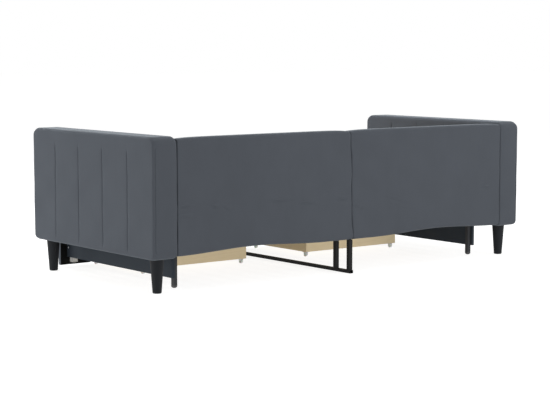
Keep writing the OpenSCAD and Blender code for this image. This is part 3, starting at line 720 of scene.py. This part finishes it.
@dataclass
class PaddedSlab:
    """A rounded slab of foam under a sewn cover, as a closed grid of places along it and round its section.

    Points are (across, along, up) until place() puts them into the daybed's frame.
    """

    node: str
    velvet: bpy.types.Material
    channels: Channels = field(init=False)
    stuffing: Stuffing = Stuffing()
    cap: float = 0.004
    coarse_step: float = 0.016
    fine_step: float = 0.011
    crown: float = 0.0015
    round_end: float = 0.010
    hem: float = 0.0

    def __post_init__(self) -> None:
        """Reads the node's box."""
        self.low, self.high = (np.array(corner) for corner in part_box(self.node))
        self.prepare()

    def prepare(self) -> None:
        """Sets length, half and channels from the box."""
        raise NotImplementedError

    def section(self, s: np.ndarray) -> Section:
        """Gives the plain section at places along the slab."""
        raise NotImplementedError

    def cover(self, s: np.ndarray, x: np.ndarray, z: np.ndarray, nx: np.ndarray) -> np.ndarray:
        """Gives the height of seams and wrinkles over the plain section."""
        raise NotImplementedError

    def place(self, points: np.ndarray) -> np.ndarray:
        """Puts (across, along, up) points into the daybed's frame."""
        raise NotImplementedError

    def sewn(self, s: np.ndarray, z: np.ndarray, nx: np.ndarray, nz: np.ndarray) -> np.ndarray:
        """Says where the cover is held: along its seams and under the slab."""
        gap = np.min(np.abs(s[..., None] - np.array(self.channels.seams)), axis=-1)
        return ((gap < MM) & (self.channels.reach(z) > 0.5) & self.sewn_face(nx)) | (nz < -0.6)

    def sewn_face(self, nx: np.ndarray) -> np.ndarray:
        """Says which faces have seams."""
        return np.abs(nx) > 0.5

    def drift(self, s: np.ndarray, z: np.ndarray) -> np.ndarray:
        """Says how far the cover has slid along the slab."""
        return 0 * z * s

    def make(self) -> bpy.types.Object:
        """Builds the slab: plain coarse grid, billowed, carried to a fine grid, then seamed and subdivided.

        Returns:
            The padded piece.
        """
        seams = self.channels.seams
        coarse = np.unique(np.concatenate([
            self.round_end * (1 - np.cos(np.linspace(0, np.pi / 2, 4))),
            self.length - self.round_end * (1 - np.cos(np.linspace(0, np.pi / 2, 4))),
            np.concatenate([np.linspace(a, b, max(2, round((b - a) / self.coarse_step)) + 1)
                            for a, b in zip((self.round_end, *seams), (*seams, self.length - self.round_end))]),
        ]).round(6))[:, None]
        x, z, nx, nz = self.section(coarse).loop()
        points, faces = closed_loft(x, z, coarse + 0 * x, self.crown)
        pinned = np.zeros(len(points), bool)
        caps = (len(points) - x.size) // 2
        pinned[caps:caps + x.size] = self.sewn(coarse + 0 * x, z, nx, nz).ravel()
        pinned[:x.shape[1]] = pinned[-x.shape[1]:] = True
        move = self.stuffing.billow(points, faces, pinned, self.cap)[caps:caps + x.size].reshape(*x.shape, 3)
        fine = places_along(self.length, self.round_end, self.fine_step, seams)
        at = np.clip(np.searchsorted(coarse[:, 0], fine[:, 0]) - 1, 0, len(coarse) - 2)
        share = ((fine[:, 0] - coarse[at, 0]) / (coarse[at + 1, 0] - coarse[at, 0]))[:, None, None]
        move = move[at] * (1 - share) + move[at + 1] * share
        x, z, nx, nz = self.section(fine).loop()
        relief = self.cover(fine + 0 * x, x, z, nx)
        points, faces = closed_loft(x + move[..., 0] + nx * relief, z + move[..., 2],
                                    fine + self.drift(fine, z) + move[..., 1], self.crown, self.hem)
        piece = put_mesh(f"{self.node}_padding", self.place(points), faces, self.velvet)
        finish = piece.modifiers.new("even_out", "SUBSURF")
        finish.levels = finish.render_levels = 1
        return piece


@dataclass
class PaddedArm(PaddedSlab):
    """One arm: a thick slab, channelled on both faces."""

    turned: bool = False
    channel_count: int = 5
    top_corner: float = 0.038
    low_corner: float = 0.025
    top_edge: float = 0.018
    low_edge: float = 0.014
    outer_head: float = 0.058
    inner_head: float = 0.020
    seam_foot: float = 0.010
    pressed: float = 0.0022
    hem: float = 0.003
    bow: float = 0.0015
    bow_run: float = 0.07
    uneven: float = 0.0008
    uneven_size: float = 0.17

    def prepare(self) -> None:
        """Sets length, half and channels from the box."""
        self.length = self.high[1] - self.low[1]
        self.half = (self.high[0] - self.low[0]) / 2
        seams = tuple(i * self.length / self.channel_count for i in range(1, self.channel_count))
        self.channels = Channels(seams, self.low[2] + self.seam_foot, self.high[2] - self.outer_head)
        self.inner = replace(self.channels, top=self.high[2] - self.inner_head, seed=5)

    def section(self, s: np.ndarray) -> Section:
        """Gives the arm's plain section: the edge radii fall in towards its two ends.

        Args:
            s: Places along the arm.

        Returns:
            Its section.
        """
        end = np.minimum(s, self.length - s)
        return Section(
            self.half - rounded_fall(end, self.round_end) - self.pressed,
            self.low[2] + rounded_fall(end, self.low_corner),
            self.high[2] - rounded_fall(end, self.top_corner),
            self.low_edge, self.top_edge - self.pressed, 7, 38)

    def cover(self, s: np.ndarray, x: np.ndarray, z: np.ndarray, nx: np.ndarray) -> np.ndarray:
        """Gives seams on both faces over a slightly uneven cover.

        The inner face's seams start higher, and its two ends swell by bow sin(pi t) over the height's share t.

        Args:
            s: Places along the arm.
            x: Places across it.
            z: Heights.
            nx: Outward normals across it.

        Returns:
            Heights of the cover in metres.
        """
        seams = np.where(nx < 0, self.inner.relief(s, z), self.channels.relief(s, z)) * np.abs(nx)
        share = (z - self.low[2]) / (self.high[2] - self.low[2])
        end = 1 - smooth(np.minimum(s, self.length - s) / self.bow_run)
        swell = self.bow * np.sin(np.pi * np.clip(share, 0, 1)) * end * (nx < -0.5)
        return seams + swell + self.uneven * waves(s, z + x, self.uneven_size, 11)

    def place(self, points: np.ndarray) -> np.ndarray:
        """Stands the arm in its node's box, turned end for end where asked.

        Args:
            points: (n, 3) points as across, along, up.

        Returns:
            (n, 3) points in the daybed's frame.
        """
        middle = (self.low[0] + self.high[0]) / 2
        if self.turned:
            return np.stack([middle - points[:, 0], self.low[1] + points[:, 1], points[:, 2]], 1)
        return np.stack([middle + points[:, 0], self.high[1] - points[:, 1], points[:, 2]], 1)


@dataclass
class PaddedBack(PaddedSlab):
    """One back panel: plain behind, channelled in front, with its lower edge drawn up."""

    side: int = 1
    channel_count: int = 5
    round_end: float = 0.009
    arm_end: float = 0.005
    overlap: float = 0.0005
    raised: float = 0.0045
    edge: float = 0.016
    arch: float = 0.015
    arch_start: float = 0.15
    seam_head: float = 0.045
    seam_foot: float = 0.02
    pressed: float = 0.0006
    cap: float = 0.0028
    crown: float = 0.0
    shoulder: float = 0.006
    shoulder_run: float = 0.05
    lean_top: tuple[float, float, float] = (0.55, 0.09, 0.009)
    lean_foot: tuple[float, float, float] = (0.36, 0.2, 0.011)
    lean_middle: float = -0.001
    lean_run: float = 0.12
    press_run: float = 0.05
    fold_depth: float = 0.0018
    fold_length: float = 0.14
    fold_slant: tuple[float, float] = (0.48, 0.87)
    fold_run: float = 0.28
    uneven: float = 0.0010
    uneven_size: float = 0.30
    crease_height: float = 0.0055
    creases: dict[int, tuple[tuple[float, float, float, float, float], ...]] = field(default_factory=lambda: {
        1: ((0.435, 0.388, 0.050, 0.0042, 0.0), (0.265, 0.366, 0.045, 0.0044, 0.05), (0.813, 0.383, 0.020, 0.004, 0.2),
            (0.738, 0.364, 0.018, 0.004, 0.8), (0.975, 0.394, 0.030, 0.004, 0.0), (0.975, 0.351, 0.030, 0.004, 0.0),
            (0.426, 0.614, 0.018, 0.0040, 0.0), (0.060, 0.373, 0.030, 0.0044, 0.0)),
        -1: ((0.184, 0.613, 0.050, 0.0038, 0.0), (0.795, 0.604, 0.030, 0.0034, 0.0), (0.900, 0.374, 0.016, 0.004, 0.0),
             (0.035, 0.327, 0.035, 0.0044, -0.2), (0.310, 0.338, 0.080, 0.0020, -0.3)),
    })

    def prepare(self) -> None:
        """Sets length, half and channels from the box."""
        self.length = self.high[0] - self.low[0]
        self.half = (self.high[1] - self.low[1]) / 2
        seams = tuple(i * self.length / self.channel_count for i in range(1, self.channel_count))
        self.channels = Channels(seams, self.low[2] + self.seam_foot, self.high[2] - self.seam_head, seed=8)

    def section(self, s: np.ndarray) -> Section:
        """Gives the panel's plain section.

        Its lower edge is raised by arch sin^2 past the arch's start, and its top sinks by
        shoulder exp(-d / run) at distance d from either end.

        Args:
            s: Places along the panel.

        Returns:
            Its section.
        """
        fall = rounded_fall(s, self.round_end) + rounded_fall(self.length - s, self.arm_end)
        sink = self.shoulder * (np.exp(-s / self.shoulder_run) + np.exp((s - self.length) / self.shoulder_run))
        lift = np.clip((s - self.arch_start) / (self.length - self.arch_start), 0, 1)
        half = self.half - fall - self.pressed
        radius = np.minimum(self.edge, half * 0.98)
        return Section(half, self.low[2] + fall + self.arch * np.sin(np.pi * lift) ** 2,
                       self.high[2] + self.raised - fall - sink, radius, radius, 6, 60, crowd=0.6, crowd_at=0.438)

    def drift(self, s: np.ndarray, z: np.ndarray) -> np.ndarray:
        """Moves the joint in the middle as the photograph has it, and presses both ends on their neighbours.

        The joint leans 8 mm to one side at its top and 12 mm to the other at its foot, fading over 120 mm.

        Args:
            s: Places along the panel.
            z: Heights.

        Returns:
            How far the cover has slid, in metres.
        """
        top_from, top_run, top_by = self.lean_top
        foot_from, foot_run, foot_by = self.lean_foot
        joint = self.lean_middle + top_by * smooth((z - top_from) / top_run)
        joint = joint - foot_by * smooth((foot_from - z) / foot_run)
        pressed = smooth((s - self.length + self.press_run) / self.press_run) - 2 * (1 - smooth(s / self.press_run))
        return self.side * joint * (1 - smooth(s / self.lean_run)) + self.overlap * pressed

    def sewn_face(self, nx: np.ndarray) -> np.ndarray:
        """Says that only the front is sewn through."""
        return nx < -0.5

    def cover(self, s: np.ndarray, x: np.ndarray, z: np.ndarray, nx: np.ndarray) -> np.ndarray:
        """Gives seams in front, and behind a few low level creases.

        A crease at (place, height) is a ridge of its size, exp(-((s - place) / span)^2) long, rising by its
        slope, and exp(-((z - height) / crease_height)^2) high, over a hollow nearly as deep. Slanting folds
        of 1.8 mm and 0.14 m fade by exp(-s / 0.28 m) from the joint in the middle.

        Args:
            s: Places along the panel.
            x: Places across it.
            z: Heights.
            nx: Outward normals across it.

        Returns:
            Heights of the cover in metres.
        """
        front = self.channels.relief(s, z) * (nx < -0.5)
        rear = self.uneven * waves(s, z * 1.4, self.uneven_size, 21 + self.side)
        slanted = z * self.fold_slant[1] + s * self.fold_slant[0]
        folds = np.sin(2 * np.pi * slanted / self.fold_length + self.side)
        rear = rear + self.fold_depth * folds * np.exp(-s / self.fold_run)
        for place, height, span, size, slope in self.creases[self.side]:
            along = np.exp(-(((s - place) / span) ** 2))
            rise = (z - height - slope * (s - place)) / self.crease_height
            rear = rear + size * along * (np.exp(-rise ** 2) - 0.8 * np.exp(-(rise + 2.0) ** 2))
        return front + rear * (nx > 0.5)

    def place(self, points: np.ndarray) -> np.ndarray:
        """Stands the panel in its node's box, mirrored for the left one.

        Args:
            points: (n, 3) points as across, along, up.

        Returns:
            (n, 3) points in the daybed's frame.
        """
        y = (self.low[1] + self.high[1]) / 2 + points[:, 0]
        x = self.low[0] + points[:, 1] if self.side > 0 else self.high[0] - points[:, 1]
        return np.stack([x, y, points[:, 2]], 1)


@dataclass
class PaddedFront:
    """A padded board: flat behind, rounded at every edge in front, with an optional notch in its foot."""

    node: str
    velvet: bpy.types.Material
    edge: float = 0.011
    notch: tuple[float, float, float] | None = None
    step: float = 0.02
    crown: float = 0.0012
    crown_run: float = 0.05
    uneven: float = 0.0005
    uneven_size: float = 0.12
    uneven_run: float = 0.03

    def lines(self, low: float, high: float, breaks: Sequence[tuple[float, int]]) -> np.ndarray:
        """Grid lines from low to high, close together inside each edge's round.

        Args:
            low: The first line.
            high: The last line.
            breaks: Notch lines with the side that has padding, -1 below or 1 above.

        Returns:
            Sorted places.
        """
        shares = self.edge * (1 - np.cos(np.linspace(0, np.pi / 2, 6)))
        parts = [low + shares, high - shares, np.arange(low + self.edge + self.step, high - self.edge, self.step)]
        for at, way in breaks:
            parts.append(at + way * shares)
        places = np.unique(np.concatenate(parts).round(6))
        keep = np.concatenate([[True], np.diff(places) > 2e-4])
        return places[keep]

    def make(self) -> bpy.types.Object:
        """Builds the board where its node is.

        A front point stands proud of the back by thickness - fall(distance to the outline), plus a low crown.

        Returns:
            The padded piece.
        """
        low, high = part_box(self.node)
        notch = self.notch
        x_breaks = [(notch[0], -1), (notch[1], 1)] if notch else []
        z_breaks = [(notch[2], 1)] if notch else []
        xs, zs = self.lines(low[0], high[0], x_breaks), self.lines(low[2], high[2], z_breaks)
        x, z = np.meshgrid(xs, zs, indexing="ij")
        rim = np.minimum(np.minimum(x - low[0], high[0] - x), np.minimum(z - low[2], high[2] - z))
        cell = np.ones((len(xs) - 1, len(zs) - 1), bool)
        if notch:
            inside = (x > notch[0]) & (x < notch[1])
            sides = np.minimum(x - low[0], high[0] - x)
            rim = np.where(inside, np.minimum(sides, high[2] - z), rim)
            dx = np.maximum(np.maximum(notch[0] - x, x - notch[1]), 0)
            rim = np.minimum(rim, np.hypot(dx, np.maximum(z - notch[2], 0)))
            middle_x, middle_z = (xs[1:] + xs[:-1]) / 2, (zs[1:] + zs[:-1]) / 2
            cell = ~((middle_x[:, None] > notch[0]) & (middle_x[:, None] < notch[1]) & (middle_z[None, :] < notch[2]))
        rim = np.maximum(rim, 0)
        depth = (high[1] - low[1]) - self.crown - rounded_fall(rim, self.edge)
        depth = depth + self.crown * smooth(rim / self.crown_run)
        depth = depth + self.uneven * waves(x, z, self.uneven_size, 31) * smooth(rim / self.uneven_run)
        front = np.stack([x, high[1] - depth, z], 2).reshape(-1, 3)
        back = np.stack([x, np.full_like(x, high[1]), z], 2).reshape(-1, 3)
        return put_mesh(f"{self.node}_padding", np.concatenate([front, back]),
                        self.faces(cell, len(zs), len(front)), self.velvet)

    @staticmethod
    def faces(cell: np.ndarray, columns: int, back: int) -> np.ndarray:
        """Faces of the front, the back and the walls round the cells that are there.

        Args:
            cell: Which cells have padding.
            columns: Points in each row of the grid.
            back: Number of the first back point.

        Returns:
            (n, 4) faces.
        """
        i, j = np.nonzero(cell)
        a = i * columns + j
        b, c, d = a + columns, a + columns + 1, a + 1
        wide = np.pad(cell, 1)
        parts = [np.stack([a, b, c, d], 1), np.stack([a, d, c, b], 1) + back]
        for (di, dj), first, second in (((-1, 0), d, a), ((1, 0), b, c), ((0, -1), a, b), ((0, 1), c, d)):
            open_side = ~wide[i + 1 + di, j + 1 + dj]
            p, q = first[open_side], second[open_side]
            parts.append(np.stack([q, p, p + back, q + back], 1))
        return np.concatenate(parts)


# Sub-assemblies


def dress(nodes: Iterable[str], material: bpy.types.Material) -> None:
    """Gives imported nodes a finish.

    Args:
        nodes: Their names.
        material: The finish.
    """
    for name in nodes:
        for material_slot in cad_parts[name].material_slots:
            material_slot.material = material
        log.info("%s wears %s", name, material.name)


def stand_for(piece: bpy.types.Object, node: str, body: str) -> None:
    """Puts a piece in a node's place, on its body.

    Args:
        piece: The new piece.
        node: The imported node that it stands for.
        body: The body that it rides on.
    """
    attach(piece, body)
    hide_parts(node)
    log.info("%s stands for %s on %s, %d faces", piece.name, node, body, len(piece.data.polygons))


@dataclass
class DaybedFrame:
    """The upholstered daybed with its legs, slats and steel middle support."""

    palette: Palette
    body: str = "daybed"

    def make(self) -> None:
        """Builds and dresses the daybed."""
        velvet = self.palette["velvet"]
        for node, turned in (("arm_right", False), ("arm_left", True)):
            stand_for(PaddedArm(node, velvet, turned=turned).make(), node, self.body)
        for node, side in (("back_panel_right", 1), ("back_panel_left", -1)):
            stand_for(PaddedBack(node, velvet, side=side).make(), node, self.body)
        for node in ("front_rail_left", "front_rail_right"):
            stand_for(PaddedFront(node, velvet).make(), node, self.body)
        legs = [f"leg_{end}_{side}" for end in ("front", "rear") for side in ("left", "right")]
        dress(legs, self.palette["black_wood"])
        dress(["arm_rail_left", "arm_rail_right"], self.palette["pale_wood_y"])
        dress(["slat_battens"], self.palette["pale_wood_x"])
        dress(["slats_left", "slats_right"], self.palette["slat_wood"])
        dress(["slat_tapes"], self.palette["tape"])
        # The centre support wears black steel whose extra darkness is painted shade from the back panel above
        dress(["centre_beam", "centre_tall_post", "centre_rear_post", "centre_floor_bar"],
              self.palette["black_steel"])
        dress(["leg_bolts", "frame_brackets", "frame_screws"], self.palette["zinc_steel"])


@dataclass
class Trundle:
    """The pull-out bed: padded front with two drawer openings, boards, posts and slats."""

    palette: Palette
    body: str = "trundle"
    opening_top: float = 0.180
    opening_gap: float = 0.004

    def make(self) -> None:
        """Builds and dresses the trundle."""
        velvet = self.palette["velvet"]
        for side in ("left", "right"):
            node = f"trundle_front_{side}"
            low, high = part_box(f"drawer_{side}_front")
            notch = (low[0] - self.opening_gap, high[0] + self.opening_gap, self.opening_top)
            stand_for(PaddedFront(node, velvet, notch=notch).make(), node, self.body)
            dress([f"side_board_{side}"], self.palette["grey_board"])
            dress([f"trundle_post_{side}"], self.palette["grey_steel"])
            dress([f"corner_block_{side}"], self.palette["greyed_wood"])
            dress([f"trundle_wheel_{side}"], self.palette["black_plastic"])
        dress(["front_lining"], self.palette["lining"])
        dress(["trundle_rear_rail"], self.palette["grey_steel"])
        dress(["trundle_batten"], self.palette["pale_wood_x"])
        dress(["trundle_slats"], self.palette["slat_wood"])
        dress(["trundle_slat_tapes"], self.palette["tape"])
        dress(["foot_caps"], self.palette["black_plastic"])
        dress(["wheel_forks", "trundle_screws"], self.palette["zinc_steel"])


@dataclass
class Drawer:
    """One rolling drawer: a pale wooden box on four castors behind a padded front."""

    palette: Palette
    side: str
    castors: int = 4
    body: str = field(init=False)

    def __post_init__(self) -> None:
        """Works out the body's name."""
        self.body = f"drawer_{self.side}"

    def make(self) -> None:
        """Builds and dresses the drawer."""
        node = f"{self.body}_front"
        front = PaddedFront(node, self.palette["velvet"])
        stand_for(front.make(), node, self.body)
        dress([f"{self.body}_sides"], self.palette["pale_wood_y"])
        dress([f"{self.body}_ends", f"{self.body}_bottom"], self.palette["pale_wood_x"])
        wheels = [f"{self.body}_wheel_{i + 1}" for i in range(self.castors)]
        dress([f"{self.body}_castors", *wheels], self.palette["white_plastic"])


# Studio


@dataclass
class Studio:
    """Plain white studio: floor, world, soft lamps and the camera of the photograph."""

    camera_place: tuple[float, float, float] = (4.9260, 6.2550, 1.1054)
    azimuth: float = 37.9590
    pitch: float = 5.9055
    focal_pixels: float = 1582.92
    frame_pixels: int = 550
    sensor: float = 36.0
    floor_half: float = 40.0
    ambient: float = 0.42
    floor_light: float = 0.18
    floor_grey: tuple[float, float, float, float] = (0.85, 0.85, 0.85, 1.0)
    glow: float = 1.44
    glow_share: float = 0.6
    lamps_aim: tuple[float, float, float] = (0.0, 0.0, 0.4)
    lamps: tuple[tuple[str, tuple[float, float, float], tuple[float, float], float], ...] = (
        ("overhead", (0.0, -0.6, 4.6), (4.5, 4.5), 138.0),
        ("low_rear", (-2.0, 6.4, 0.55), (6.0, 1.0), 94.0),
        ("rear", (-2.0, 4.8, 2.8), (2.5, 1.2), 47.0),
        ("low_side", (6.6, 0.8, 0.5), (4.0, 0.9), 71.0),
        ("inner", (0.9, -3.2, 1.6), (1.5, 1.0), 44.0),
        ("side", (4.6, -4.2, 1.9), (3.0, 3.0), 108.0),
        ("front", (-2.5, -6.0, 2.4), (5.0, 3.0), 130.0),
        ("far_side", (-5.5, 0.4, 1.5), (3.0, 2.0), 60.0),
    )

    def make(self) -> None:
        """Builds the studio."""
        self.floor()
        self.world()
        self.light()
        self.camera()
        bpy.context.scene.view_settings.view_transform = "Standard"

    def floor(self) -> None:
        """Makes a white floor that keeps a soft shadow."""
        h = self.floor_half
        mesh = bpy.data.meshes.new("floor")
        mesh.from_pydata([(-h, -h, 0), (h, -h, 0), (h, h, 0), (-h, h, 0)], [], [(0, 1, 2, 3)])
        floor = bpy.data.objects.new("floor", mesh)
        bpy.context.scene.collection.objects.link(floor)
        g = Graph("floor_white")
        tree = g.tree
        g.set(Base_Color=self.floor_grey, Roughness=0.9, Specular_IOR_Level=0.0)
        glow = g.add("ShaderNodeEmission")
        glow.inputs["Strength"].default_value = self.glow
        path = g.add("ShaderNodeLightPath")
        seen = g.add("ShaderNodeMapRange")
        seen.inputs["To Min"].default_value = self.floor_light
        seen.inputs["To Max"].default_value = self.glow_share
        tree.links.new(self.seen_straight(tree, path), seen.inputs["Value"])
        blend = g.add("ShaderNodeMixShader")
        tree.links.new(seen.outputs[0], blend.inputs[0])
        tree.links.new(g.shader.outputs[0], blend.inputs[1])
        tree.links.new(glow.outputs[0], blend.inputs[2])
        tree.links.new(blend.outputs[0], g.output.inputs["Surface"])
        mesh.materials.append(g.material)

    def world(self) -> None:
        """Makes a world that is white to the camera and in reflections, and softer as a lamp."""
        world = bpy.data.worlds.new("studio")
        bpy.context.scene.world = world
        world.use_nodes = True
        tree = world.node_tree
        tree.nodes.clear()
        out = tree.nodes.new("ShaderNodeOutputWorld")
        back = tree.nodes.new("ShaderNodeBackground")
        back.inputs["Color"].default_value = (1.0, 1.0, 1.0, 1.0)
        path = tree.nodes.new("ShaderNodeLightPath")
        span = tree.nodes.new("ShaderNodeMapRange")
        span.inputs["To Min"].default_value = self.ambient
        span.inputs["To Max"].default_value = 1.0
        tree.links.new(self.seen_straight(tree, path), span.inputs["Value"])
        tree.links.new(span.outputs[0], back.inputs["Strength"])
        tree.links.new(back.outputs[0], out.inputs["Surface"])

    @staticmethod
    def seen_straight(tree: bpy.types.NodeTree, path: bpy.types.Node) -> bpy.types.NodeSocket:
        """Gives 1 for what the camera sees, in a reflection or through a clear piece too, and 0 for light.

        Args:
            tree: The material's or world's node tree.
            path: Its light path node.

        Returns:
            The socket that carries it.
        """
        most = path.outputs["Is Camera Ray"]
        for ray in ("Is Glossy Ray", "Is Transmission Ray"):
            larger = tree.nodes.new("ShaderNodeMath")
            larger.operation = "MAXIMUM"
            tree.links.new(most, larger.inputs[0])
            tree.links.new(path.outputs[ray], larger.inputs[1])
            most = larger.outputs[0]
        return most

    def light(self) -> None:
        """Hangs the soft lamps, each turned to the middle of the daybed."""
        for name, place, size, power in self.lamps:
            data = bpy.data.lights.new(name, "AREA")
            data.shape = "RECTANGLE"
            data.size, data.size_y = size
            data.energy = power
            lamp = bpy.data.objects.new(name, data)
            lamp.location = place
            aim = -np.array(place) + np.array(self.lamps_aim)
            lamp.rotation_euler = self.aimed(aim)
            lamp.visible_camera = False
            bpy.context.scene.collection.objects.link(lamp)

    @staticmethod
    def aimed(direction: np.ndarray) -> tuple[float, float, float]:
        """Euler angles that point a lamp's -Z along a direction."""
        x, y, z = direction / np.linalg.norm(direction)
        return (math.acos(-z), 0.0, math.atan2(y, x) - math.pi / 2)

    def camera(self) -> None:
        """Sets the camera at the photograph's place and angle."""
        data = bpy.data.cameras.new("photo_camera")
        data.sensor_width = self.sensor
        data.lens = self.focal_pixels / self.frame_pixels * self.sensor
        data.clip_end = 100.0
        camera = bpy.data.objects.new("photo_camera", data)
        camera.location = self.camera_place
        camera.rotation_euler = (math.radians(90 - self.pitch), 0.0, math.radians(180 - self.azimuth))
        bpy.context.scene.collection.objects.link(camera)
        bpy.context.scene.camera = camera


def main() -> None:
    """Builds the studio and every sub-assembly in order."""
    Studio().make()
    palette = Palette()
    makers: list[Callable[[], None]] = [DaybedFrame(palette).make, Trundle(palette).make]
    makers += [Drawer(palette, side).make for side in ("left", "right")]
    for maker in makers:
        maker()


if __name__ == "__main__":
    main()
